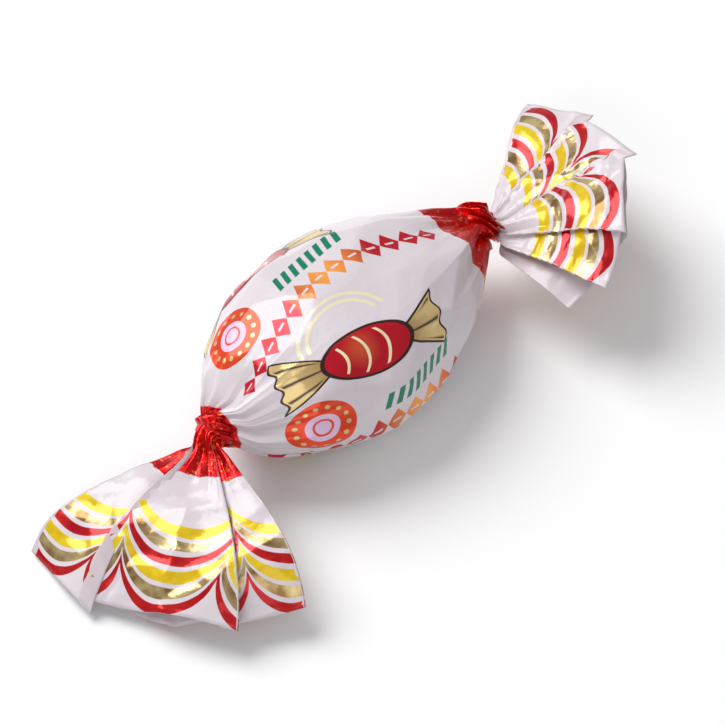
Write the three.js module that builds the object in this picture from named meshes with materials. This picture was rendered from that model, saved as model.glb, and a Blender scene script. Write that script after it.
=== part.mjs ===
// A hard caramel sweet in a twist wrapper, lying on its side: a lemon-shaped body between two twisted
// knots, and past each knot a flat fan of folded film. It is shut and opaque, so it is one solid.
// Lengths are millimetres and angles are degrees. +X runs along the sweet, +Z is up, and the origin is
// the middle of the small flat spot that the body rests on.
import * as THREE from "three";

// Body: the film drawn tight over a sweet of about 30 x 21 x 14.5.
const BODY_HALF_WIDTH = 11.2;
const BODY_HALF_HEIGHT = 7.8;
const BODY_CENTRE_HEIGHT = 7.5; // lower than the half height, which leaves the flat spot
const BODY_SECTION_POWER = 2.25; // 2 is an ellipse, and more is boxier
const ROUND_NECK_RADIUS = 2.6; // where the body is this narrow, its section is a plain ellipse
const NECK_SHARPNESS = 3; // how suddenly the body's curve runs into the neck

// Each end, from the middle of the body: its knot, where the curve of the sweet itself would come to a
// point, and how blunt that point is (0.5 is an ellipse, and 1 a parabola).
const LEFT_END = { side: -1, knot: 18.4, neck: 1.8, reach: 17.6, taper: 0.58 };
const RIGHT_END = { side: 1, knot: 21.2, neck: 2.2, reach: 19.8, taper: 0.75 };

// The film's own long edge, which overlaps the film under it along the back of the body.
const OVERLAP_STEP = 0.25;
const OVERLAP_COLUMN = 54; // counted round the ring, low on the far side
const OVERLAP_COLUMNS = 7; // how many columns the step takes to sink back
const OVERLAP_END_GAP = 2; // it is lost among the folds this far from each knot
const OVERLAP_FADE = 4;

// The folds that run into the knots: pressed tight at the knot, open beside it, and lost further off.
const FOLDS = 8;
const FOLD_HEIGHT = 0.8;
const FOLD_REACH = 2.6;
const FOLD_TIGHT = 0.9;
const FOLD_OPEN = 2.2;
const SHOULDER_HEIGHT = 0.3; // the longer, softer part of the same folds, over the body's shoulders
const SHOULDER_REACH = 6.5;
const TWIST_LENGTH = 3.8;
const TWIST_QUARTERS = 1; // quarter turns between the body and each tail

// Tails: every fan is a loop of film pressed flat, with a top layer and an under layer.
const TAIL_SPREAD = 5.2; // how far past the knot the round neck has become a flat fan
const BEND_LENGTH = 3.2; // how far past the knot the tail has taken its own heading
const NECK_CLEARANCE = 1.5; // from the knot to the tail's first ring
const LIFT_AT_KNOT = 0.4; // the share of a fold's lift that it has already at the knot
const BOW_DELAY = 1.5; // 1 bows the fan most at its middle, and more bows it further out
const TAIL_LOWEST = 0.2; // the tails stay this far above what the sweet rests on
const TAIL_SOFTNESS = 0.4;

// Each panel is one flat facet of film with a straight cut edge. Its two corners are given as an angle in
// the fan (0 is the fan's middle), the distance from the knot, and how far it stands off the fan's plane.
// Where one panel stops and the next starts, the film steps down behind a fold.
const RIGHT_TAIL = {
  end: RIGHT_END,
  length: 17.4,
  heading: -28,
  rise: 23,
  roll: -6,
  apex: [-1.1, -1.3, -0.9],
  curl: -0.5,
  camber: -0.6,
  bow: 0.6,
  belly: 0,
  top: [
    [[58, 19.0, -0.1], [29, 18.2, 0.7]],
    [[28, 18.2, 1.1], [2, 18.6, 1.4]],
    [[1, 18.6, 1.8], [-35, 17.3, 1.7]],
    [[-36, 17.1, 1.2], [-57, 16.8, 0.1]],
  ],
  under: [
    [[-67, 13.6, -1.5], [-30, 16.6, -1.3]],
    [[-30, 16.6, -1.3], [12, 18.2, -1.1]],
    [[12, 18.2, -1.1], [57, 18.8, -0.7]],
  ],
};
const LEFT_TAIL = {
  end: LEFT_END,
  length: 21.2,
  heading: 207,
  rise: -15,
  roll: -8,
  apex: [0.3, -0.3, 0],
  curl: -0.6,
  camber: -0.8,
  bow: 1.6,
  belly: 0.2,
  top: [
    [[43, 22.4, 0.2], [18, 23.0, 0.8]],
    [[17, 23.0, 1.3], [-22, 22.9, 1.3]],
    [[-23, 22.9, 0.8], [-41, 22.0, 0.2]],
  ],
  under: [
    [[-40, 21.4, -0.5], [-8, 21.9, -0.9]],
    [[-8, 21.9, -0.9], [18, 21.9, -0.8]],
    [[18, 21.9, -0.8], [42, 22.2, -0.4]],
  ],
};

// Mesh density.
const COLUMNS = 64; // round every ring, half of them on each layer of a tail
const LAYER_COLUMNS = COLUMNS / 2;
const BODY_HALF_ROWS = 15;
const TAIL_ROWS = 11;
const ROW_BUNCHING = 0.5; // 0 spaces the body's rows evenly, and 1 bunches them at the knots
const TAIL_ROW_BUNCHING = 1.4;
const BEND_STEPS = 60; // how finely the line down the middle of a tail is followed

const radians = THREE.MathUtils.degToRad;
const mix = THREE.MathUtils.lerp;
const smooth = (value, low, high) => THREE.MathUtils.smoothstep(value, low, high);
const signedPower = (value, power) => Math.sign(value) * Math.abs(value) ** power;
const columnAngle = (column) => (2 * Math.PI * (column + 0.5)) / COLUMNS;

// How far the folds stand out at a distance from the knot, as a cosine round the film.
function foldHeight(column, distance) {
  const open = (distance + FOLD_TIGHT) / (distance + FOLD_OPEN);
  const sharp = FOLD_HEIGHT * Math.exp(-distance / FOLD_REACH) * open;
  const soft = SHOULDER_HEIGHT * Math.exp(-distance / SHOULDER_REACH) * open;
  return (sharp + soft) * Math.cos(FOLDS * columnAngle(column));
}

// The step where the film's long edge lies on the film below: sharp on one side, sinking on the other.
function overlapHeight(column, distance) {
  const past = column - OVERLAP_COLUMN;
  if (past < 0 || past >= OVERLAP_COLUMNS) return 0;
  const fade = smooth(distance, OVERLAP_END_GAP, OVERLAP_END_GAP + OVERLAP_FADE);
  return OVERLAP_STEP * fade * (1 - past / OVERLAP_COLUMNS);
}

// Half the body's width or height at x, where half is the most it has: the sweet's own curve, run into
// the neck.
function halfSize(x, half) {
  const end = x < 0 ? LEFT_END : RIGHT_END;
  const fullness = Math.max(0, 1 - (x / end.reach) ** 2) ** end.taper;
  const join = (size) => (size ** NECK_SHARPNESS + end.neck ** NECK_SHARPNESS) ** (1 / NECK_SHARPNESS);
  return (join(half * fullness) * half) / join(half);
}

// One closed ring of the body at a distance x from its middle.
function bodyRing(x) {
  const end = x < 0 ? LEFT_END : RIGHT_END;
  const distance = end.knot - Math.abs(x);
  const halfWidth = halfSize(x, BODY_HALF_WIDTH);
  const halfHeight = halfSize(x, BODY_HALF_HEIGHT);
  const spare = (halfWidth - ROUND_NECK_RADIUS) / (BODY_HALF_WIDTH - ROUND_NECK_RADIUS);
  const power = 2 / mix(2, BODY_SECTION_POWER, Math.max(0, spare));
  const twist = (TWIST_QUARTERS * Math.PI * (1 - smooth(distance, 0, TWIST_LENGTH))) / 2;
  const ring = [];
  for (let column = 0; column < COLUMNS; column++) {
    const angle = columnAngle(column) + twist;
    const fold = foldHeight(column, distance) + overlapHeight(column, distance);
    const y = (halfWidth + fold) * signedPower(Math.cos(angle), power);
    const z = (halfHeight + fold) * signedPower(Math.sin(angle), power);
    ring.push(new THREE.Vector3(x, y, Math.max(0, BODY_CENTRE_HEIGHT + z)));
  }
  return ring;
}

// A corner's place in the fan: out along it, across it, and off its plane.
function cornerPlace([angle, reach, lift]) {
  const across = reach * Math.sin(radians(angle));
  return new THREE.Vector3(reach * Math.cos(radians(angle)), across, lift);
}

// Places along the cut edge of one layer of a tail, shared out between its panels by their angles.
function cutEdge(panels) {
  const span = Math.abs(panels[0][0][0] - panels.at(-1)[1][0]);
  const places = [];
  panels.forEach(([from, to], index) => {
    const last = index === panels.length - 1;
    const share = Math.abs(to[0] - from[0]) / span;
    const count = last ? LAYER_COLUMNS - places.length : Math.round(LAYER_COLUMNS * share);
    for (let i = 0; i < count; i++) {
      places.push(cornerPlace(from).lerp(cornerPlace(to), i / (count - 1)));
    }
  });
  return places;
}

// A tail's own axes at a distance past its knot: out along the fan's middle, sideways (towards +Y), and
// off the face of the fan. They swing from the body's heading to the tail's own.
function tailAxes(tail, distance) {
  const side = tail.end.side;
  const share = smooth(distance, 0, BEND_LENGTH);
  const heading = radians(mix(side > 0 ? 0 : 180, tail.heading, share));
  const rise = radians(tail.rise * share);
  const roll = radians(tail.roll * share);
  const out = new THREE.Vector3(
    Math.cos(heading) * Math.cos(rise),
    Math.sin(heading) * Math.cos(rise),
    Math.sin(rise),
  );
  const level = new THREE.Vector3(-Math.sin(heading), Math.cos(heading), 0).multiplyScalar(side);
  const upright = out.clone().cross(level).multiplyScalar(side);
  const across = level.clone().multiplyScalar(Math.cos(roll)).addScaledVector(upright, Math.sin(roll));
  const face = upright.clone().multiplyScalar(Math.cos(roll)).addScaledVector(level, -Math.sin(roll));
  return { out, across, face };
}

// Where the middle line of a tail is, at a distance past its knot.
function tailCentre(tail, distance) {
  const centre = new THREE.Vector3(tail.end.side * tail.end.knot, 0, BODY_CENTRE_HEIGHT);
  const step = distance / BEND_STEPS;
  for (let i = 0; i < BEND_STEPS; i++) {
    centre.addScaledVector(tailAxes(tail, (i + 0.5) * step).out, step);
  }
  return centre.addScaledVector(new THREE.Vector3(...tail.apex), smooth(distance, 0, BEND_LENGTH));
}

// A height that sinks no lower than TAIL_LOWEST.
function aboveRest(z) {
  return TAIL_LOWEST + TAIL_SOFTNESS * Math.log1p(Math.exp((z - TAIL_LOWEST) / TAIL_SOFTNESS));
}

// One closed ring of a tail, where share runs from 0 near the knot to 1 at the cut edge.
function tailRing(tail, share) {
  const distance = mix(NECK_CLEARANCE, tail.length, share ** TAIL_ROW_BUNCHING);
  const down = distance / tail.length;
  const { out, across, face } = tailAxes(tail, distance);
  const centre = tailCentre(tail, distance);
  const edge = [...cutEdge(tail.top), ...cutEdge(tail.under)];
  const flat = smooth(distance, 0, TAIL_SPREAD);
  const belly = 1 + tail.belly * Math.sin(Math.PI * down);
  const bow = tail.curl * down ** 2 + tail.bow * Math.sin(Math.PI * down ** BOW_DELAY);
  const shift = (TWIST_QUARTERS * COLUMNS) / 4;
  const ring = [];
  for (let column = 0; column < COLUMNS; column++) {
    const place = (column + shift) % COLUMNS;
    const corner = edge[place];
    const angle = columnAngle(place);
    const radius = tail.end.neck * (1 - flat) + foldHeight(column, distance);
    const outwards = (down * corner.x - distance) * flat;
    const spread = down * corner.y * belly * flat;
    const lift = corner.z * flat * mix(LIFT_AT_KNOT, 1, down) + tail.camber * (spread / tail.length) ** 2;
    const point = centre
      .clone()
      .addScaledVector(out, outwards)
      .addScaledVector(across, spread + radius * Math.cos(angle))
      .addScaledVector(face, radius * Math.sin(angle) + lift + bow);
    point.z = aboveRest(point.z);
    ring.push(point);
  }
  return ring;
}

// All rings from the left tail's cut edge to the right tail's.
function allRings() {
  const rings = [];
  for (let row = TAIL_ROWS; row >= 0; row--) rings.push(tailRing(LEFT_TAIL, row / TAIL_ROWS));
  for (let row = -BODY_HALF_ROWS; row <= BODY_HALF_ROWS; row++) {
    const even = row / BODY_HALF_ROWS;
    const bunched = Math.sin((even * Math.PI) / 2);
    const knot = row < 0 ? LEFT_END.knot : RIGHT_END.knot;
    rings.push(bodyRing(knot * mix(even, bunched, ROW_BUNCHING)));
  }
  for (let row = 0; row <= TAIL_ROWS; row++) rings.push(tailRing(RIGHT_TAIL, row / TAIL_ROWS));
  return rings;
}

// Triangles that join one ring to the next.
function sideTriangles(ringCount) {
  const triangles = [];
  for (let row = 0; row + 1 < ringCount; row++) {
    for (let column = 0; column < COLUMNS; column++) {
      const next = (column + 1) % COLUMNS;
      const a = row * COLUMNS + column;
      const b = row * COLUMNS + next;
      const c = a + COLUMNS;
      const d = b + COLUMNS;
      triangles.push(a, b, d, a, d, c);
    }
  }
  return triangles;
}

// Triangles that close a tail's cut edge, from its top layer to its under layer.
function edgeTriangles(row, reversed) {
  const shift = (TWIST_QUARTERS * COLUMNS) / 4;
  const vertex = (place) => row * COLUMNS + ((place - shift + COLUMNS) % COLUMNS);
  const triangles = [];
  for (let place = 0; place + 1 < LAYER_COLUMNS; place++) {
    const a = vertex(place);
    const b = vertex(place + 1);
    const c = vertex(COLUMNS - 2 - place);
    const d = vertex(COLUMNS - 1 - place);
    const quad = reversed ? [a, c, b, a, d, c] : [a, b, c, a, c, d];
    triangles.push(...quad);
  }
  return triangles;
}

function wrappedCandyGeometry() {
  const rings = allRings();
  const lastRow = rings.length - 1;
  const geometry = new THREE.BufferGeometry().setFromPoints(rings.flat());
  geometry.setIndex([
    ...sideTriangles(rings.length),
    ...edgeTriangles(0, true),
    ...edgeTriangles(lastRow, false),
  ]);
  geometry.computeVertexNormals();
  return geometry;
}

const printedFilm = new THREE.MeshStandardMaterial({ color: 0xe6e0e6, roughness: 0.22, metalness: 0 });
const wrappedCandy = new THREE.Mesh(wrappedCandyGeometry(), printedFilm);
wrappedCandy.name = "wrapped_candy";

const candy = new THREE.Group();
candy.add(wrappedCandy);

export default candy;
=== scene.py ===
"""Wrapped caramel candy: the film of its twist wrapper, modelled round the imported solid.

The film is three pieces that meet inside the knots: the cover, drawn tight over the sweet, and a fan of
folded film past each knot. Lengths are millimetres in the solid's own frame, and become metres by the
length of the solid's box. The print is worked out in the material from the film's own flat coordinates,
u round the film and v along it, which every piece carries in the UV map FILM_MAP.
"""
import math

import bmesh
import bpy
import numpy as np
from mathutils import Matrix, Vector


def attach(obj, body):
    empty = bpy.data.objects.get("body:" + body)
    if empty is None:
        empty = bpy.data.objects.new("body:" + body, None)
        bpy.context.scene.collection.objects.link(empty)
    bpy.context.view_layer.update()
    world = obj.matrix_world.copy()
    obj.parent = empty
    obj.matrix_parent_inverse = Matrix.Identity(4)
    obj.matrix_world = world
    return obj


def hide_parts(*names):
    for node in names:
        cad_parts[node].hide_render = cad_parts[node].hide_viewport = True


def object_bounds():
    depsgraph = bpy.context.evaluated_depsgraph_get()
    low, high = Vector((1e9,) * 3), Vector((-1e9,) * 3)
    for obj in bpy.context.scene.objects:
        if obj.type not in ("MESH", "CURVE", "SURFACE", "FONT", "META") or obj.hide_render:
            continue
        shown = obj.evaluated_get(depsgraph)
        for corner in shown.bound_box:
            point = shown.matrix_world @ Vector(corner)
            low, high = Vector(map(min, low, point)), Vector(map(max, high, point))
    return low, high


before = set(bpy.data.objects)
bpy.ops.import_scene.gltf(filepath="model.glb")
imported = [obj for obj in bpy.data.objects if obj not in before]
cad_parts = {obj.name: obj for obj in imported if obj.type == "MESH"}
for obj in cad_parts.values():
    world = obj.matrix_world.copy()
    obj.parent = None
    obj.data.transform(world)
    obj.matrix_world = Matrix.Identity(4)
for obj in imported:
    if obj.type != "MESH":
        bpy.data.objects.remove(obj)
solid_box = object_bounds()

# Sizes of the solid, in millimetres. Its origin is under the widest point of the sweet.
SOLID_LENGTH = 78.13
BODY_HALF_WIDTH = 11.2
BODY_HALF_HEIGHT = 7.8
BODY_CENTRE_HEIGHT = 7.5
BODY_SECTION_POWER = 2.25  # 2 is an ellipse, and more is boxier
ROUND_NECK_RADIUS = 2.6  # where the body is this narrow, its section is a plain ellipse
NECK_SHARPNESS = 3  # how suddenly the body's curve runs into the neck
METRES = (solid_box[1].x - solid_box[0].x) / SOLID_LENGTH

# The flat film: its girth round the body, and how its print lies on it.
GIRTH = 61.0
PRINT_REPEAT = 19.0
SCALLOP = PRINT_REPEAT / 2
BAND_EDGE = 25.0  # from the middle of the print to the outer edge of each red band
BAND_WIDTH = 8.0
FILM_THICKNESS = 0.09
SEAM_ANGLE = 300  # where the long edge lies, in degrees from +Y over the top
PRINT_TOP_ANGLE = 122  # where the print's middle line lies

# Each end: where its knot is, how the body runs into it, and how far the film turns there.
LEFT_END = {"side": -1, "knot": 18.4, "neck": 1.6, "reach": 17.6, "taper": 0.58, "turn": 90, "film_v": -18.7}
RIGHT_END = {"side": 1, "knot": 21.2, "neck": 2.0, "reach": 19.8, "taper": 0.75, "turn": 130, "film_v": 23.5}
TURN_FROM = 2.6  # the turn begins this far before the knot
TURN_TO = -1.6  # and ends this far past it

# The gathers at each knot, from broad soft folds that run on over the shoulder to fine ones: how many,
# how high, how far they reach, and how open they still are at the knot itself.
GATHERS = ((5, 1.5, 6.5, 0.1), (10, 0.9, 3.8, 0.9), (19, 0.4, 2.4, 0.9))
GATHER_OPENING = 2.2  # how far from the knot the folds have half opened

# The cover's own unevenness.
FACET_ROWS = ((-12.8, 7), (-8.0, 9), (-3.0, 10), (2.5, 10), (8.0, 9), (13.6, 8))  # x, and how many round it
FACET_SOFTNESS = 0.07
FACET_DEPTH = 0.85  # a share: 1 makes every facet quite flat
CREASE_COUNTS = ((LEFT_END, 11), (RIGHT_END, 10))
RIPPLE_HEIGHT = 0.06
RIPPLE_LENGTH = 9.0
CRINKLE_DEPTH = 0.11
CRINKLE_LENGTH = 12.0
OVERLAP_STEP = 0.16  # where the long edge lies on the film below
OVERLAP_SINK = 3.0  # how far round the body that step takes to sink back
COVER_OVERRUN = 0.8  # how far the cover runs on inside each tail
OVERRUN_TUCK = 0.15  # and how much it draws in there

# Each tail is a path of flat facets, from one long edge of the film to the other. The corners are where
# the folds between them meet the cut edge: an angle in the fan, positive towards +Y, how far that is from
# the knot, and how far it stands off the fan's plane. A fold back of a few degrees is a small pleat.
RIGHT_TAIL = {
    "end": RIGHT_END,
    "length": 17.4,
    "heading": -28,
    "rise": 23,
    "roll": -6,
    "apex": (-1.1, -1.3, -0.9),
    "curl": -0.5,
    "camber": -0.6,
    "bow": 0.6,
    "belly": 0,
    "corners": [
        (-67, 13.4, -1.6),
        (-30, 16.2, -1.3),
        (12, 18.0, -1.1),
        (58, 19.0, -0.2),
        (27, 18.2, 0.7),
        (32, 17.4, 1.0),
        (-1, 18.7, 1.3),
        (4, 17.9, 1.7),
        (-35, 17.4, 1.5),
        (-30, 16.6, 1.1),
        (-55, 17.0, 0.1),
        (-47, 16.0, -0.5),
    ],
    "main_leg": 7,
    "main_u": -0.3,
}
LEFT_TAIL = {
    "end": LEFT_END,
    "length": 21.6,
    "heading": 207,
    "rise": -15,
    "roll": -8,
    "apex": (0.3, -0.3, 0),
    "curl": -0.6,
    "camber": -0.8,
    "bow": 1.4,
    "belly": 0.22,
    "corners": [
        (-32, 20.5, -1.0),
        (-6, 21.6, -0.9),
        (20, 21.4, -0.8),
        (43, 22.2, 0.0),
        (16, 23.1, 0.7),
        (21, 22.3, 1.0),
        (-24, 23.0, 1.2),
        (-19, 22.2, 0.7),
        (-42, 22.0, 0.0),
        (-35, 21.0, -0.4),
    ],
    "main_leg": 5,
    "main_u": 1.2,
}
BOW_DELAY = 1.5  # 1 bows the fan most at its middle, and more bows it further out
TAIL_SPREAD = 3.8  # how far past the knot the round neck has become a flat fan
BEND_LENGTH = 2.9  # how far past the knot the tail has taken its own heading
NECK_THICKNESS = 0.02  # the film's, where the folds are too tight for more
TAIL_LOWEST = 0.15  # the tails stay this far above what the sweet rests on
TAIL_SOFTNESS = 0.4  # how gently they level out there
LIFT_AT_KNOT = 0.4  # the share of a fold's lift that it has already at the knot
WAVE_HEIGHT = 0.4  # the tails' own unevenness, from long waves to fine ripples
WAVE_LENGTH = 15.0
CRUMPLE_DEPTH = 0.14
CRUMPLE_LENGTH = 9.0
CREASE_COUNT = 16
FINE_HEIGHT = 0.05
FINE_LENGTH = 4.0

COVER_COLUMNS = 420
COVER_ROWS = 150
TAIL_ROWS = 56
TAIL_COLUMN_WIDTH = 0.19
LEG_COLUMNS_LEAST = 7
FILM_MAP = "film"
BAKE_MAP = "OFBake"
SEED = 11


# ---------------------------------------------------------------- numbers and meshes


def smoothstep(value, low, high):
    share = np.clip((value - low) / (high - low), 0, 1)
    return share * share * (3 - 2 * share)


def signed_power(value, power):
    return np.sign(value) * np.abs(value) ** power


def soft_noise(rng, across, along, size, waves=16):
    """Smooth noise of about unit size, made of sine waves in random headings, about size long."""
    total = 0
    for _ in range(waves):
        heading = rng.uniform(0, 2 * math.pi)
        length = size * rng.uniform(0.6, 1.7)
        phase = rng.uniform(0, 2 * math.pi)
        wave = across * math.cos(heading) + along * math.sin(heading)
        total = total + np.sin(2 * math.pi * wave / length + phase)
    return total / math.sqrt(waves / 2)


def corners(grid):
    """The values at the four corners of every face of a grid, in the order that its faces are wound."""
    return np.stack([grid[:-1, :-1], grid[:-1, 1:], grid[1:, 1:], grid[1:, :-1]], axis=2)


class Sheet:
    """A grid of points with the film and bake coordinates of every face's corners."""

    def __init__(self, points, film, bake, material=0):
        self.points = points
        self.film = film
        self.bake = bake
        self.material = material


def rectangle(across, along, left, low, right, high):
    """Bake coordinates that lay a grid out in a rectangle, from its running lengths both ways."""
    u = left + (right - left) * (across - across[0]) / (across[-1] - across[0])
    v = low + (high - low) * (along - along[0]) / (along[-1] - along[0])
    return corners(np.stack(np.meshgrid(u, v), axis=-1))


def make_piece(name, sheets, materials):
    """One welded mesh made of sheets, facing out, with its two maps."""
    points = []
    faces = []
    slots = []
    count = 0
    for sheet in sheets:
        rows, columns = sheet.points.shape[:2]
        index = count + np.arange(rows * columns).reshape(rows, columns)
        faces.append(corners(index).reshape(-1, 4))
        points.append(sheet.points.reshape(-1, 3))
        slots.append(np.full(len(faces[-1]), sheet.material))
        count += rows * columns
    mesh = bpy.data.meshes.new(name)
    mesh.from_pydata((np.concatenate(points) * METRES).tolist(), [], np.concatenate(faces).tolist())
    for map_name in (FILM_MAP, BAKE_MAP):
        layer = mesh.uv_layers.new(name=map_name)
        values = [(sheet.film if map_name == FILM_MAP else sheet.bake).reshape(-1, 2) for sheet in sheets]
        layer.data.foreach_set("uv", np.concatenate(values).astype(float).ravel())
    mesh.polygons.foreach_set("material_index", np.concatenate(slots))
    for material in materials:
        mesh.materials.append(material)
    shape = bmesh.new()
    shape.from_mesh(mesh)
    bmesh.ops.remove_doubles(shape, verts=shape.verts, dist=1e-7)
    bmesh.ops.recalc_face_normals(shape, faces=shape.faces)
    for face in shape.faces:
        face.smooth = True
    shape.to_mesh(mesh)
    shape.free()
    piece = bpy.data.objects.new(name, mesh)
    bpy.context.scene.collection.objects.link(piece)
    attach(piece, "root")
    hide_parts("wrapped_candy")
    return piece


class Pleats:
    """Uneven folds round a knot. Each crest and valley has its own place, height and reach."""

    def __init__(self, rng, count, height, reach, openness):
        self.openness = openness
        gaps = rng.uniform(0.5, 1.5, 2 * count)
        self.places = 2 * math.pi * np.cumsum(gaps) / gaps.sum()
        self.heights = height * np.tile([1.0, -1.0], count) * rng.uniform(0.45, 1.0, 2 * count)
        self.reaches = reach * rng.uniform(0.6, 1.5, 2 * count)

    def height_at(self, angle, distance):
        """How far the folds stand out: pressed tight at the knot, open beside it, and lost further off."""
        height = np.interp(angle, self.places, self.heights, period=2 * math.pi)
        reach = np.interp(angle, self.places, self.reaches, period=2 * math.pi)
        away = np.abs(distance)
        return height * np.exp(-away / reach) * (away + self.openness) / (away + GATHER_OPENING)


def make_pleats(rng):
    return [Pleats(rng, *sizes) for sizes in GATHERS]


def turned(end, distance):
    """How far the film has turned at a distance before the knot, in radians. Past it is negative."""
    return end["side"] * math.radians(end["turn"]) * (1 - smoothstep(distance, TURN_TO, TURN_FROM))


# ---------------------------------------------------------------- the cover over the sweet


def half_size(x, half):
    """Half the cover's width or height at x: the sweet's own curve, run into the neck."""
    size = 0
    for end in (LEFT_END, RIGHT_END):
        fullness = np.clip(1 - (x / end["reach"]) ** 2, 0, 1) ** end["taper"]
        power = NECK_SHARPNESS
        run = ((half * fullness) ** power + end["neck"] ** power) ** (1 / power)
        run = run * half / (half**power + end["neck"] ** power) ** (1 / power)
        size = size + np.where(x * end["side"] >= 0, 1, 0) * run * np.where(x == 0, 0.5, 1)
    return size


def section_points(x, angle):
    """Points of the smooth cover at x, and at an angle round it."""
    width = half_size(x, BODY_HALF_WIDTH)
    height = half_size(x, BODY_HALF_HEIGHT)
    fullness = np.clip((width - ROUND_NECK_RADIUS) / (BODY_HALF_WIDTH - ROUND_NECK_RADIUS), 0, 1)
    power = 2 / (2 + (BODY_SECTION_POWER - 2) * fullness)
    y = width * signed_power(np.cos(angle), power)
    z = height * signed_power(np.sin(angle), power)
    return np.stack([x + 0 * y, y, BODY_CENTRE_HEIGHT + z], axis=-1)


def ring_angles(shares):
    """Angles that are evenly spread along the middle ring's girth, from the seam."""
    angle = np.linspace(0, 2 * math.pi, 2001) + math.radians(SEAM_ANGLE)
    ring = section_points(np.zeros(1), angle)
    girth = np.concatenate([[0], np.cumsum(np.linalg.norm(np.diff(ring, axis=0), axis=1))])
    return np.interp(shares, girth / girth[-1], angle)


def seam_share(angle):
    """The share of the girth from the seam to an angle on the middle ring."""
    shares = np.linspace(0, 1, 2001)
    return np.interp(math.radians(angle) + 2 * math.pi, ring_angles(shares), shares)


def outward_normals(points):
    """Unit normals of a tube of rings, pointing out."""
    along = np.gradient(points, axis=0)
    around = np.roll(points, -1, axis=1) - np.roll(points, 1, axis=1)
    normals = np.cross(along, around)
    normals /= np.maximum(np.linalg.norm(normals, axis=-1, keepdims=True), 1e-9)
    outwards = points - points.mean(axis=1, keepdims=True)
    return normals * np.sign(np.sum(normals * outwards, axis=-1, keepdims=True))


def facet_offset(points, normals, rng):
    """How far soft flat facets, each touching the smooth cover at one place, stand off it."""
    total = 0
    for x, count in FACET_ROWS:
        for i in range(count):
            place = x + rng.uniform(-1.3, 1.3)
            angle = 2 * math.pi * (i + rng.uniform(-0.3, 0.3)) / count
            nearest = section_points(np.array([[place]]), np.array([[angle]]))[0, 0]
            gap = np.linalg.norm(points - nearest, axis=-1)
            normal = normals[np.unravel_index(gap.argmin(), gap.shape)]
            facing = np.maximum(normals @ normal, 0.35)
            offset = ((nearest - points) @ normal) / facing
            total = total + np.exp(-np.clip(offset, -1, 6) / FACET_SOFTNESS)
    return -FACET_SOFTNESS * np.log(total)


def long_creases(rng, angle, x):
    """A few straight narrow ridges, run from each knot up over the shoulder."""
    height = 0
    for end, count in CREASE_COUNTS:
        distance = end["knot"] - x * end["side"]
        for _ in range(count):
            start = rng.uniform(0, 2 * math.pi)
            drift = rng.uniform(-0.03, 0.03)
            reach = rng.uniform(6, 14)
            rise = rng.uniform(0.2, 0.5)
            width = rng.uniform(0.4, 0.9)
            aside = np.angle(np.exp(1j * (angle - start - drift * distance)))
            fade = 1 - smoothstep(distance, 0.3 * reach, reach)
            height = height + rise * fade * np.exp(-np.abs(aside) * half_size(x, BODY_HALF_WIDTH) / width)
    return height


def cover_rows():
    """The x of each ring, bunched towards the knots and run a little past them."""
    share = np.linspace(-1, 1, COVER_ROWS)
    share = 0.5 * share + 0.5 * np.sin(share * math.pi / 2)
    left, right = (end["knot"] + COVER_OVERRUN for end in (LEFT_END, RIGHT_END))
    return np.where(share < 0, share * left, share * right)


def make_cover(pleats, materials):
    rng = np.random.default_rng(SEED)
    x = cover_rows()[:, None]
    share = (np.arange(COVER_COLUMNS) / COVER_COLUMNS)[None, :]
    angle = ring_angles(share) + 0 * x
    turn = 0
    gathers = 0
    for end, folds in zip((LEFT_END, RIGHT_END), pleats):
        here = np.where(x * end["side"] > 0, 1.0, 0.0)
        distance = end["knot"] - x * end["side"]
        turn = turn + here * turned(end, distance)
        at_knot = angle + end["side"] * math.radians(end["turn"])
        for fold in folds:
            gathers = gathers + here * fold.height_at(at_knot, distance)
    distance = np.where(x < 0, LEFT_END["knot"] + x, RIGHT_END["knot"] - x)
    points = section_points(x, angle + turn)
    normals = outward_normals(points)
    facets = facet_offset(points, normals, rng) * smoothstep(distance, 2.5, 8.0)
    ripple = soft_noise(rng, share * GIRTH, x, RIPPLE_LENGTH)
    crinkle = np.abs(soft_noise(rng, share * GIRTH, x, CRINKLE_LENGTH)) * smoothstep(distance, 1.0, 5.0)
    overlap = np.exp(-share * GIRTH / OVERLAP_SINK) * smoothstep(distance, 2.0, 6.0)
    height = FACET_DEPTH * facets + long_creases(rng, angle, x) + gathers
    height = height + RIPPLE_HEIGHT * ripple - CRINKLE_DEPTH * crinkle + OVERLAP_STEP * overlap
    height = height - OVERRUN_TUCK * smoothstep(-distance, -0.1, 0.5)
    points = points + normals * height[..., None]
    points[..., 2] = np.maximum(points[..., 2], 0.0)
    points[0] = points[0].mean(axis=0)
    points[-1] = points[-1].mean(axis=0)
    points = np.concatenate([points, points[:, :1]], axis=1)
    profile = 0.8 * half_size(x[:, 0], (BODY_HALF_WIDTH + BODY_HALF_HEIGHT) / 2)
    rows = np.concatenate([[0], np.cumsum(np.hypot(np.diff(x[:, 0]), np.diff(profile)))])
    knots = [np.interp(end["side"] * end["knot"], x[:, 0], rows) for end in (LEFT_END, RIGHT_END)]
    film_v = np.interp(rows, knots, [LEFT_END["film_v"], RIGHT_END["film_v"]])
    film_u = (np.arange(COVER_COLUMNS + 1) / COVER_COLUMNS - seam_share(PRINT_TOP_ANGLE)) * GIRTH
    film = corners(np.stack(np.meshgrid(film_u, film_v), axis=-1))
    bake = rectangle(film_u, rows, 0.005, 0.005, 0.995, 0.995)
    return make_piece("wrapper_cover", [Sheet(points, film, bake)], materials)


# ---------------------------------------------------------------- the tails


def corner_places(tail):
    """Where the corners lie: out along the fan, across it, and off its plane."""
    angle, reach, lift = np.array(tail["corners"], dtype=float).T
    return np.stack([reach * np.cos(np.radians(angle)), reach * np.sin(np.radians(angle)), lift], axis=-1)


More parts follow.
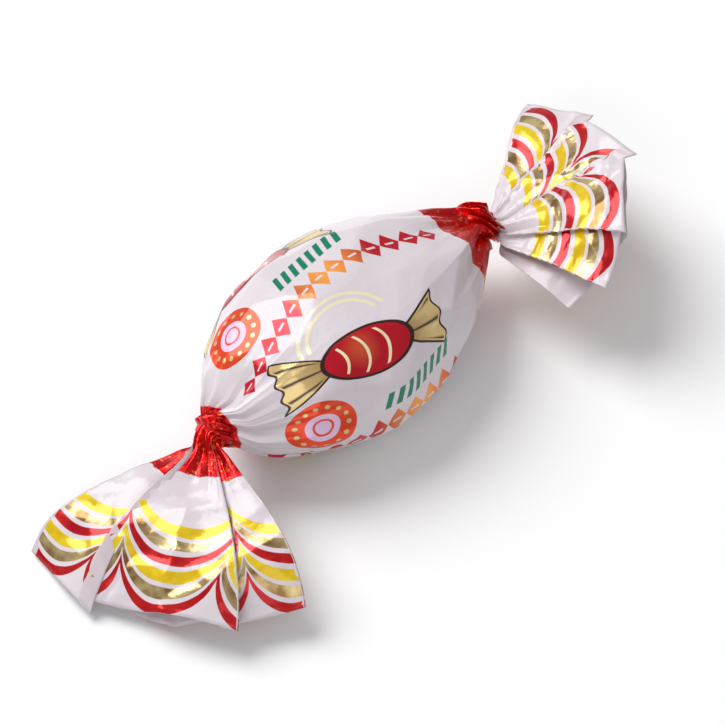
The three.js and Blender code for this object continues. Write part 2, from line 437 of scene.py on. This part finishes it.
def cut_edge(tail):
    """The cut edge as a fine path of places in the fan, and the leg that each of its steps is on."""
    places = corner_places(tail)
    path = []
    legs = []
    for number, (start, stop) in enumerate(zip(places, places[1:])):
        width = np.linalg.norm(stop - start)
        count = max(LEG_COLUMNS_LEAST, round(width / TAIL_COLUMN_WIDTH))
        step = np.linspace(0, 1, count, endpoint=False)[:, None]
        share = 0.6 * step + 0.4 * (0.5 - 0.5 * np.cos(step * math.pi))
        path.append(start + (stop - start) * share)
        legs.append(np.full(count, number))
    path = np.concatenate([*path, places[-1:]])
    path[:, :2] = rounded(path[:, :2], 2)
    path[:, 2:] = rounded(path[:, 2:], 4)
    return path, np.concatenate(legs)


def rounded(values, reach):
    """The rows of values with every sharp turn rounded over a few rows."""
    kernel = np.bartlett(2 * reach + 3)[1:-1]
    padded = np.concatenate([values[:1].repeat(reach, 0), values, values[-1:].repeat(reach, 0)])
    columns = [np.convolve(column, kernel / kernel.sum(), mode="valid") for column in padded.T]
    return np.stack(columns, axis=-1)


def tail_axes(tail, share):
    """Unit vectors out along the fan, across it and off its face, as it takes its heading."""
    side = tail["end"]["side"]
    straight = 0 if side > 0 else 180
    heading = np.radians(straight + (tail["heading"] - straight) * share)
    rise = math.radians(tail["rise"]) * share
    roll = math.radians(tail["roll"]) * share
    flat = np.cos(rise)
    out = np.stack([np.cos(heading) * flat, np.sin(heading) * flat, np.sin(rise)], axis=-1)
    level = side * np.stack([-np.sin(heading), np.cos(heading), 0 * heading], axis=-1)
    upright = side * np.cross(out, level)
    cos, sin = np.cos(roll)[..., None], np.sin(roll)[..., None]
    return out, cos * level + sin * upright, cos * upright - sin * level


def straight_creases(rng, count, out, across, length):
    """Straight sharp creases, each a low ridge or groove across part of the fan."""
    height = 0
    for _ in range(count):
        heading = rng.uniform(0, math.pi)
        middle = (rng.uniform(0.45, 1) * length, rng.uniform(-0.7, 0.7) * length)
        rise = rng.uniform(0.12, 0.3) * rng.choice([-1, 1])
        width = rng.uniform(0.5, 1.3)
        reach = rng.uniform(3, 7)
        along = (out - middle[0]) * math.cos(heading) + (across - middle[1]) * math.sin(heading)
        aside = (across - middle[1]) * math.cos(heading) - (out - middle[0]) * math.sin(heading)
        height = height + rise * np.exp(-np.abs(aside) / width - (along / reach) ** 2)
    return height


def tail_wall(tail, folds, down, seed):
    """The film's outer wall as a grid of points, rows down the tail and columns round its folds."""
    rng = np.random.default_rng(seed)
    end = tail["end"]
    length = tail["length"]
    path, _ = cut_edge(tail)
    walked = np.concatenate([[0], np.cumsum(np.linalg.norm(np.diff(path, axis=0), axis=1))])
    ring = math.pi + 2 * math.pi * walked / walked[-1]
    down = down[:, None]
    v = down * length
    flat = smoothstep(v, 0, TAIL_SPREAD)
    at_knot = ring + 0 * v
    now = at_knot + turned(end, -v) - end["side"] * math.radians(end["turn"])
    radius = end["neck"] * (1 - flat)
    forward = (down * path[:, 0] - v) * flat
    sideways = down * path[:, 1] * flat * (1 + tail["belly"] * np.sin(math.pi * down))
    layer = np.clip(4 * np.sin(ring), -1, 1)
    wave = soft_noise(rng, forward + v, sideways, WAVE_LENGTH) * smoothstep(v, 2, 11)
    crumple = np.abs(soft_noise(rng, forward + v, sideways, CRUMPLE_LENGTH)) * smoothstep(v, 3, 8)
    creases = straight_creases(rng, CREASE_COUNT, forward + v, sideways, length) * smoothstep(v, 2, 6)
    fine = soft_noise(rng, walked * down, v, FINE_LENGTH) * smoothstep(v, 2, 7)
    off = path[:, 2] * flat * (LIFT_AT_KNOT + (1 - LIFT_AT_KNOT) * down)
    off = off + WAVE_HEIGHT * wave - CRUMPLE_DEPTH * crumple + creases + FINE_HEIGHT * fine
    off = off + tail["curl"] * down**2 + tail["camber"] * (sideways / length) ** 2
    off = off + tail["bow"] * np.sin(math.pi * down**BOW_DELAY)
    gathers = 0
    for fold in folds:
        gathers = gathers + fold.height_at(at_knot, v)
    out, across, face = tail_axes(tail, smoothstep(v[:, 0], 0, BEND_LENGTH))
    steps = np.diff(v[:, 0], prepend=v[0, 0])[:, None] * out
    centre = np.cumsum(steps, axis=0) + np.array([end["side"] * end["knot"], 0, BODY_CENTRE_HEIGHT])
    centre = centre + smoothstep(v, 0, BEND_LENGTH) * np.array(tail["apex"])
    round_y = radius + gathers * (1 - flat)
    sideways = sideways + round_y * np.cos(now)
    off = off + round_y * np.sin(now) + gathers * flat * layer
    points = centre[:, None, :] + out[:, None, :] * forward[..., None]
    points = points + across[:, None, :] * sideways[..., None] + face[:, None, :] * off[..., None]
    above = (points[..., 2] - TAIL_LOWEST) / TAIL_SOFTNESS
    points[..., 2] = TAIL_LOWEST + TAIL_SOFTNESS * np.logaddexp(0, above)
    return points


def sheet_normals(points):
    """Unit normals of an open grid."""
    normals = np.cross(np.gradient(points, axis=0), np.gradient(points, axis=1))
    return normals / np.maximum(np.linalg.norm(normals, axis=-1, keepdims=True), 1e-9)


def tail_film(tail, down):
    """The film coordinates of every face's corners. Each facet is laid flat with its cut edge level."""
    path, legs = cut_edge(tail)
    places = corner_places(tail)[:, :2]
    edges = np.diff(places, axis=0)
    widths = np.linalg.norm(edges, axis=1)
    edges = edges / widths[:, None]
    depths = np.abs(edges[:, 0] * places[:-1, 1] - edges[:, 1] * places[:-1, 0])
    starts = np.concatenate([[0], np.cumsum(widths)[:-1]])
    main = tail["main_leg"]
    starts = starts - starts[main] - widths[main] / 2 + tail["main_u"] - np.sum(edges * places[:-1], axis=1)
    film = np.zeros((len(down) - 1, len(legs), 4, 2))
    side = tail["end"]["side"]
    for corner, (row, column) in enumerate(((0, 0), (0, 1), (1, 1), (1, 0))):
        share = down[row : len(down) - 1 + row][:, None]
        on_edge = np.sum(path[column : len(legs) + column, :2] * edges[legs], axis=1)
        film[..., corner, 0] = starts[legs] + share * on_edge
        film[..., corner, 1] = tail["end"]["film_v"] + side * (tail["length"] - depths[legs] * (1 - share))
    return film


def make_tail(name, tail, folds, materials, seed):
    down = np.linspace(0, 1, TAIL_ROWS) ** 1.25
    outer = tail_wall(tail, folds, down, seed)
    normals = sheet_normals(outer)
    inwards = outer.mean(axis=1, keepdims=True) - outer
    near_neck = np.sum(normals[:4] * inwards[:4])
    spread = smoothstep(down * tail["length"], 1, 5)[:, None, None]
    thickness = NECK_THICKNESS + (FILM_THICKNESS - NECK_THICKNESS) * spread
    inner = outer + np.sign(near_neck) * normals * thickness
    film = tail_film(tail, down)
    across = np.concatenate([[0], np.cumsum(np.linalg.norm(np.diff(outer[-1], axis=0), axis=1))])
    sheets = [
        Sheet(outer, film, rectangle(across, down, 0.01, 0.03, 0.99, 0.49), 0),
        Sheet(inner, film, rectangle(across, down, 0.01, 0.51, 0.99, 0.97), 1),
    ]
    for row, low in ((0, 0.005), (-1, 0.985)):
        strip = np.stack([outer[row], inner[row]])
        edge_film = film[row][None, :, :, :]
        bake = rectangle(across, np.arange(2), 0.01, low, 0.99, low + 0.01)
        sheets.append(Sheet(strip, edge_film, bake, 1))
    for column, low in ((0, 0.001), (-1, 0.997)):
        strip = np.stack([outer[:, column], inner[:, column]])
        flat = np.zeros((1, len(down) - 1, 4, 2)) + film[0, column, 0]
        bake = rectangle(down, np.arange(2), 0.01, low, 0.99, low + 0.002)
        sheets.append(Sheet(strip, flat, bake, 1))
    return make_piece(name, sheets, materials)


# ---------------------------------------------------------------- the print


def shade(red, green, blue):
    """A screen colour, 0 to 255 a channel, as the linear colour that a shader takes."""
    parts = [part / 255 for part in (red, green, blue)]
    linear = [part / 12.92 if part <= 0.04045 else ((part + 0.055) / 1.055) ** 2.4 for part in parts]
    return (*linear, 1)


FILM_WHITE = shade(212, 203, 208)
FILM_INSIDE = shade(206, 194, 199)
FOIL_RED = shade(200, 10, 18)
# Painted glint colour: the orange of the foil band's specks and of the drawing's highlight.
FOIL_GLINT = shade(236, 116, 56)
INK_RED = shade(190, 12, 34)
# Painted highlight on the red beads.
PAINTED_HIGHLIGHT_ORANGE = shade(245, 160, 70)
ARC_RED = shade(176, 4, 20)
# Painted glint on the arcs' red ink.
ARC_RED_PAINTED_GLINT = shade(194, 26, 26)
YELLOW = shade(212, 174, 0)
# Painted glint on the yellow ink.
YELLOW_PAINTED_GLINT = shade(224, 194, 30)
GOLD = shade(205, 184, 132)
# Painted shade on the arcs' gold ink; the gold above is its lit copy there, and also the disc's dots.
GOLD_PAINTED_SHADE = shade(132, 98, 52)
TAN = shade(222, 194, 134)
TAN_DARK = shade(158, 118, 66)
GREEN = shade(0, 118, 88)
DARK = shade(48, 22, 20)
CREAM = shade(238, 228, 186)
ORANGE_RED = shade(222, 66, 28)
LILAC = shade(222, 190, 218)

# Where each part of the print has its middle: along the film and round it.
DRAWING_PLACE = (-2.0, 1.1)
SWIRL_PLACE = (-2.4, -1.8)
BEADS_PLACE = (0.5, -8.8)
DASHES_PLACE = (1.875, 7.0)
DISC_PLACE = (-9.9, 6.5)
SCALLOP_SHIFT = 1.2  # round the film, from the drawing's repeat to the arcs' own


class Field:
    """A number that varies over the surface: a node's output, so that sums read as plain Python."""

    def __init__(self, tree, socket):
        self.tree = tree
        self.socket = socket

    def math(self, operation, *others, clamp=False):
        node = self.tree.nodes.new("ShaderNodeMath")
        node.operation = operation
        node.use_clamp = clamp
        for slot, value in enumerate((self, *others)):
            if isinstance(value, Field):
                self.tree.links.new(value.socket, node.inputs[slot])
            else:
                node.inputs[slot].default_value = value
        return Field(self.tree, node.outputs[0])

    def __add__(self, other):
        return self.math("ADD", other)

    def __sub__(self, other):
        return self.math("SUBTRACT", other)

    def __mul__(self, other):
        return self.math("MULTIPLY", other)

    def __truediv__(self, other):
        return self.math("DIVIDE", other)

    def __abs__(self):
        return self.math("ABSOLUTE")

    def least(self, other):
        return self.math("MINIMUM", other)

    def most(self, other):
        return self.math("MAXIMUM", other)

    def wrapped(self, period):
        return self.math("WRAP", period / 2, -period / 2)

    def inside(self, edge=0.07):
        """1 where this distance is below zero and 0 where it is above, with a thin soft edge."""
        return self.math("MULTIPLY_ADD", -1 / edge, 0.5, clamp=True)


def length_of(a, b):
    return (a * a + b * b).math("SQRT")


class Paint:
    """A colour and how metallic it is, built up layer by layer."""

    def __init__(self, tree, colour, metal=0.0):
        self.tree = tree
        self.colour = colour
        self.metal = metal

    def put(self, mask, colour, metal=0.0):
        mix = self.tree.nodes.new("ShaderNodeMix")
        mix.data_type = "RGBA"
        self.tree.links.new(mask.socket, mix.inputs[0])
        for socket, value in ((mix.inputs[6], self.colour), (mix.inputs[7], colour)):
            if isinstance(value, bpy.types.NodeSocket):
                self.tree.links.new(value, socket)
            else:
                socket.default_value = value
        self.colour = mix.outputs[2]
        kept = mask.math("MULTIPLY_ADD", -1, 1)
        self.metal = kept * self.metal + mask * metal

    def blend(self, share, first, second):
        """A colour between two, as a socket that put() can take."""
        mix = self.tree.nodes.new("ShaderNodeMix")
        mix.data_type = "RGBA"
        self.tree.links.new(share.socket, mix.inputs[0])
        mix.inputs[6].default_value = first
        mix.inputs[7].default_value = second
        return mix.outputs[2]


def noise(tree, place, scale, detail=2.0):
    node = tree.nodes.new("ShaderNodeTexNoise")
    node.inputs["Scale"].default_value = scale
    node.inputs["Detail"].default_value = detail
    tree.links.new(place, node.inputs["Vector"])
    return Field(tree, node.outputs["Fac"])


def put_scallops(paint, u, v, place, tree):
    """The combed arcs of the tails: bands of yellow, gold and red, bowed outwards, with sharp cusps, and
    random painted glints and shade on their inks.
    """
    out = abs(v) - BAND_EDGE
    share = (u - SCALLOP_SHIFT).wrapped(SCALLOP) / (SCALLOP / 2)
    round_off = (share * share).math("MULTIPLY_ADD", -0.985, 1).math("SQRT")
    bowed = out - round_off * 5.0 + 5.0
    # Painted glints and shade: random patches where each ink is blended between a darker and a paler copy of
    # itself.
    painted_glints = (noise(tree, place, 420, 3.0) - 0.38).math("MULTIPLY", 4, clamp=True)
    gold_and_painted_sheen = paint.blend(painted_glints, GOLD_PAINTED_SHADE, GOLD)
    yellow = paint.blend(painted_glints, YELLOW, YELLOW_PAINTED_GLINT)
    red = paint.blend(painted_glints, ARC_RED, ARC_RED_PAINTED_GLINT)
    arcs = ((6.9, 0.62, yellow, 0.15), (8.5, 0.56, gold_and_painted_sheen, 0.6), (10.1, 0.52, red, 0.35))
    for repeat in (0, 4.9):
        for centre, half, colour, metal in arcs:
            mask = (abs(bowed - (centre + repeat)) - half).inside()
            paint.put(mask, colour, metal)


def put_band(paint, v, place, tree):
    """The red foil band at each knot, with fine gold marks that also stand for painted glints. Gives back
    where it is.
    """
    ragged = (noise(tree, place, 900) - 0.5) * 0.5
    mask = (abs(abs(v) - (BAND_EDGE - BAND_WIDTH / 2)) - BAND_WIDTH / 2 + ragged).inside(0.12)
    # Orange specks on the red: partly gold print marks, partly painted glints on the foil.
    gold_marks_and_glints = (noise(tree, place, 2400, 1.0) - 0.6).math("MULTIPLY", 14, clamp=True)
    paint.put(mask, paint.blend(gold_marks_and_glints * 0.7, FOIL_RED, FOIL_GLINT), 0.78)
    return mask


def put_beads(paint, u, v):
    """An arc of beads that bends round the motif, red at its ends and orange in its middle as a painted
    highlight.
    """
    pitch = 2.3
    half_length = 14.9
    along = (v - BEADS_PLACE[0]).wrapped(pitch)
    from_bend = v - 2.0
    bend = from_bend * from_bend * 0.0165
    aside = (u - bend - BEADS_PLACE[1]).wrapped(PRINT_REPEAT)
    bead = abs(along) / 1.14 + abs(aside) / 1.7 - 1
    row = abs(v - BEADS_PLACE[0]) - half_length
    slit = abs(aside) - 0.15
    # Painted highlight: the red beads turn orange towards the middle of the arc.
    gold_and_painted_sheen = (abs(v - 1.5) / 5.0).math("MULTIPLY_ADD", -1, 1.15, clamp=True)
    paint.put((bead * 0.75).most(row).inside(), paint.blend(gold_and_painted_sheen, INK_RED, PAINTED_HIGHLIGHT_ORANGE), 0.25)
    paint.put(slit.most(abs(along) - 0.5).most(row).inside(), FILM_WHITE)


def put_swirls(paint, u, v):
    """Pale double arcs above the drawing."""
    dv = v - SWIRL_PLACE[0]
    du = (u - SWIRL_PLACE[1]).wrapped(PRINT_REPEAT)
    for radius in (5.4, 4.4):
        ring = abs(length_of(dv, du * 1.25) - radius) - 0.2
        paint.put(ring.most(du + 0.4).inside(), CREAM, 0.15)


def put_drawing(paint, u, v):
    """A plain drawing of a wrapped sweet: a striped red oval between two tan fans, with a painted highlight
    on the oval.
    """
    lean = math.radians(12)
    dv = v - DRAWING_PLACE[0]
    du = (u - DRAWING_PLACE[1]).wrapped(PRINT_REPEAT)
    along = dv * math.cos(lean) + du * math.sin(lean)
    aside = du * math.cos(lean) - dv * math.sin(lean)
    fans = ((-1, 9.6, 3.3), (1, 9.2, 2.2))
    for side, reach, half in fans:
        past = along * side - 4.2
        spread = abs(aside) - past * (half / (reach - 4.2)) - 0.5
        wavy = (aside * 2.6).math("SINE") * 0.25
        fan = spread.most(past + wavy - (reach - 4.2)).most(past * -1)
        paint.put((fan - 0.26).inside(), DARK)
        fade = past.math("MULTIPLY_ADD", 0.24, 0.15, clamp=True)
        paint.put(fan.inside(), paint.blend(fade, TAN_DARK, TAN), 0.4)
        ribs = abs((aside / (past + 2.0)).wrapped(0.34)) - 0.03
        paint.put(ribs.most(fan + 0.2).inside(0.05), DARK)
    oval = (length_of(along / 4.8, aside / 2.4) - 1) * 2.4
    paint.put((oval - 0.26).inside(), DARK)
    # Painted highlight: an orange spot on the red oval, off its middle.
    painted_highlight = (length_of(along + 0.6, aside + 0.5) / 2.2).math("MULTIPLY_ADD", -1, 1, clamp=True)
    paint.put(oval.inside(), paint.blend(painted_highlight * 0.6, INK_RED, FOIL_GLINT), 0.3)
    stripe = abs((along + aside * aside * 0.22).wrapped(2.4)) - 0.17
    paint.put(stripe.most(oval + 0.3).inside(), CREAM)


def put_dashes(paint, u, v):
    """A row of short slanted green dashes."""
    pitch = 1.25
    aside = (u - DASHES_PLACE[1] + v * 0.07).wrapped(PRINT_REPEAT)
    along = v + aside * 0.36
    dash = (abs(along.wrapped(pitch)) - 0.34).most(abs(aside) - 0.95)
    dash = dash.most(abs(along - DASHES_PLACE[0]) - 4 * pitch)
    paint.put(dash.inside(), GREEN)


def put_disc(paint, u, v):
    """A round spot: a red ring with gold dots, and a pale middle with a thin ring."""
    dots = 14
    dots_radius = 2.65
    dv = v - DISC_PLACE[0]
    du = (u - DISC_PLACE[1]).wrapped(PRINT_REPEAT)
    away = length_of(dv, du)
    paint.put((away - 3.5).inside(), ORANGE_RED, 0.3)
    turn = dv.math("ARCTAN2", du).wrapped(2 * math.pi / dots) * dots_radius
    paint.put((length_of(turn, away - dots_radius) - 0.26).inside(), GOLD, 0.4)
    paint.put((away - 1.75).inside(), LILAC)
    paint.put((abs(away - 0.95) - 0.12).inside(), ORANGE_RED)


def film_surface(material, paint, relief):
    """Ends a film material: a glossy clear skin over the paint, with fine relief."""
    tree = material.node_tree
    surface = tree.nodes["Principled BSDF"]
    tree.links.new(paint.colour, surface.inputs["Base Color"])
    tree.links.new(paint.metal.socket, surface.inputs["Metallic"])
    surface.inputs["Specular IOR Level"].default_value = 0.28
    surface.inputs["Coat Weight"].default_value = 0.18
    surface.inputs["Coat Roughness"].default_value = 0.08
    bump = tree.nodes.new("ShaderNodeBump")
    bump.inputs["Strength"].default_value = 0.35
    bump.inputs["Distance"].default_value = 0.0003
    tree.links.new(relief.socket, bump.inputs["Height"])
    tree.links.new(bump.outputs["Normal"], surface.inputs["Normal"])
    rough = relief.math("MULTIPLY_ADD", 0.16, 0.14)
    tree.links.new(rough.socket, surface.inputs["Roughness"])


def new_material(name):
    material = bpy.data.materials.new(name)
    material.use_nodes = True
    return material, material.node_tree


def printed_film():
    material, tree = new_material("printed_film")
    flat = tree.nodes.new("ShaderNodeUVMap")
    flat.uv_map = FILM_MAP
    parts = tree.nodes.new("ShaderNodeSeparateXYZ")
    tree.links.new(flat.outputs["UV"], parts.inputs[0])
    place = tree.nodes.new("ShaderNodeTexCoord").outputs["Object"]
    u = Field(tree, parts.outputs["X"]) + noise(tree, place, 250) * 0.3 - 0.15
    v = Field(tree, parts.outputs["Y"]) + noise(tree, place, 270) * 0.3 - 0.15
    paint = Paint(tree, FILM_WHITE)
    put_scallops(paint, u, v, place, tree)
    put_swirls(paint, u, v)
    put_drawing(paint, u, v)
    put_beads(paint, u, v)
    put_dashes(paint, u, v)
    put_disc(paint, u, v)
    band = put_band(paint, v, place, tree)
    crinkle = band * noise(tree, place, 1500) * 0.4
    film_surface(material, paint, noise(tree, place, 500, 3.0) + crinkle)
    return material


def plain_film():
    """The film's unprinted inside, where the print shows faintly through as blotches."""
    material, tree = new_material("plain_film")
    place = tree.nodes.new("ShaderNodeTexCoord").outputs["Object"]
    paint = Paint(tree, FILM_INSIDE)
    cloud = (noise(tree, place, 160) - 0.55).math("MULTIPLY", 4, clamp=True)
    paint.put(cloud * 0.3, shade(226, 190, 196))
    film_surface(material, paint, noise(tree, place, 500, 3.0))
    return material


# ---------------------------------------------------------------- floor, light and camera


def make_floor():
    material, tree = new_material("pale_floor")
    surface = tree.nodes["Principled BSDF"]
    surface.inputs["Base Color"].default_value = (0.9, 0.9, 0.9, 1)
    surface.inputs["Roughness"].default_value = 0.8
    bpy.ops.mesh.primitive_plane_add(size=6)
    floor = bpy.context.object
    floor.name = "floor"
    floor.data.materials.append(material)


def make_light(name, place, size, power, target):
    data = bpy.data.lights.new(name, "AREA")
    data.shape = "DISK"
    data.size = size
    data.energy = power
    light = bpy.data.objects.new(name, data)
    light.location = place
    light.rotation_euler = (Vector(target) - Vector(place)).to_track_quat("-Z", "Y").to_euler()
    bpy.context.scene.collection.objects.link(light)


def make_lights(target):
    make_light("key", (-0.06, 0.5, 0.62), 0.6, 5.7, target)
    make_light("fill", (-0.42, -0.3, 0.35), 0.5, 0.8, target)
    world = bpy.data.worlds.new("studio")
    world.use_nodes = True
    world.node_tree.nodes["Background"].inputs["Color"].default_value = (0.97, 0.97, 1.0, 1)
    world.node_tree.nodes["Background"].inputs["Strength"].default_value = 0.45
    bpy.context.scene.world = world


def make_camera(target):
    azimuth = math.radians(-46)
    elevation = math.radians(50)
    distance = 0.62
    back = Vector(
        (
            math.sin(azimuth) * math.cos(elevation),
            -math.cos(azimuth) * math.cos(elevation),
            math.sin(elevation),
        )
    )
    data = bpy.data.cameras.new("camera")
    data.lens = 300
    camera = bpy.data.objects.new("camera", data)
    camera.location = Vector(target) + back * distance
    camera.rotation_euler = back.to_track_quat("Z", "Y").to_euler()
    bpy.context.scene.collection.objects.link(camera)
    bpy.context.scene.camera = camera


def build():
    rng = np.random.default_rng(SEED)
    left_pleats = make_pleats(rng)
    right_pleats = make_pleats(rng)
    printed = printed_film()
    plain = plain_film()
    make_cover((left_pleats, right_pleats), [printed])
    make_tail("wrapper_tail_left", LEFT_TAIL, left_pleats, [printed, plain], SEED + 1)
    make_tail("wrapper_tail_right", RIGHT_TAIL, right_pleats, [printed, plain], SEED + 2)
    target = [(low + high) / 2 for low, high in zip(*solid_box)]
    make_floor()
    make_lights(target)
    make_camera(target)
    bpy.context.scene.view_settings.view_transform = "Standard"


build()
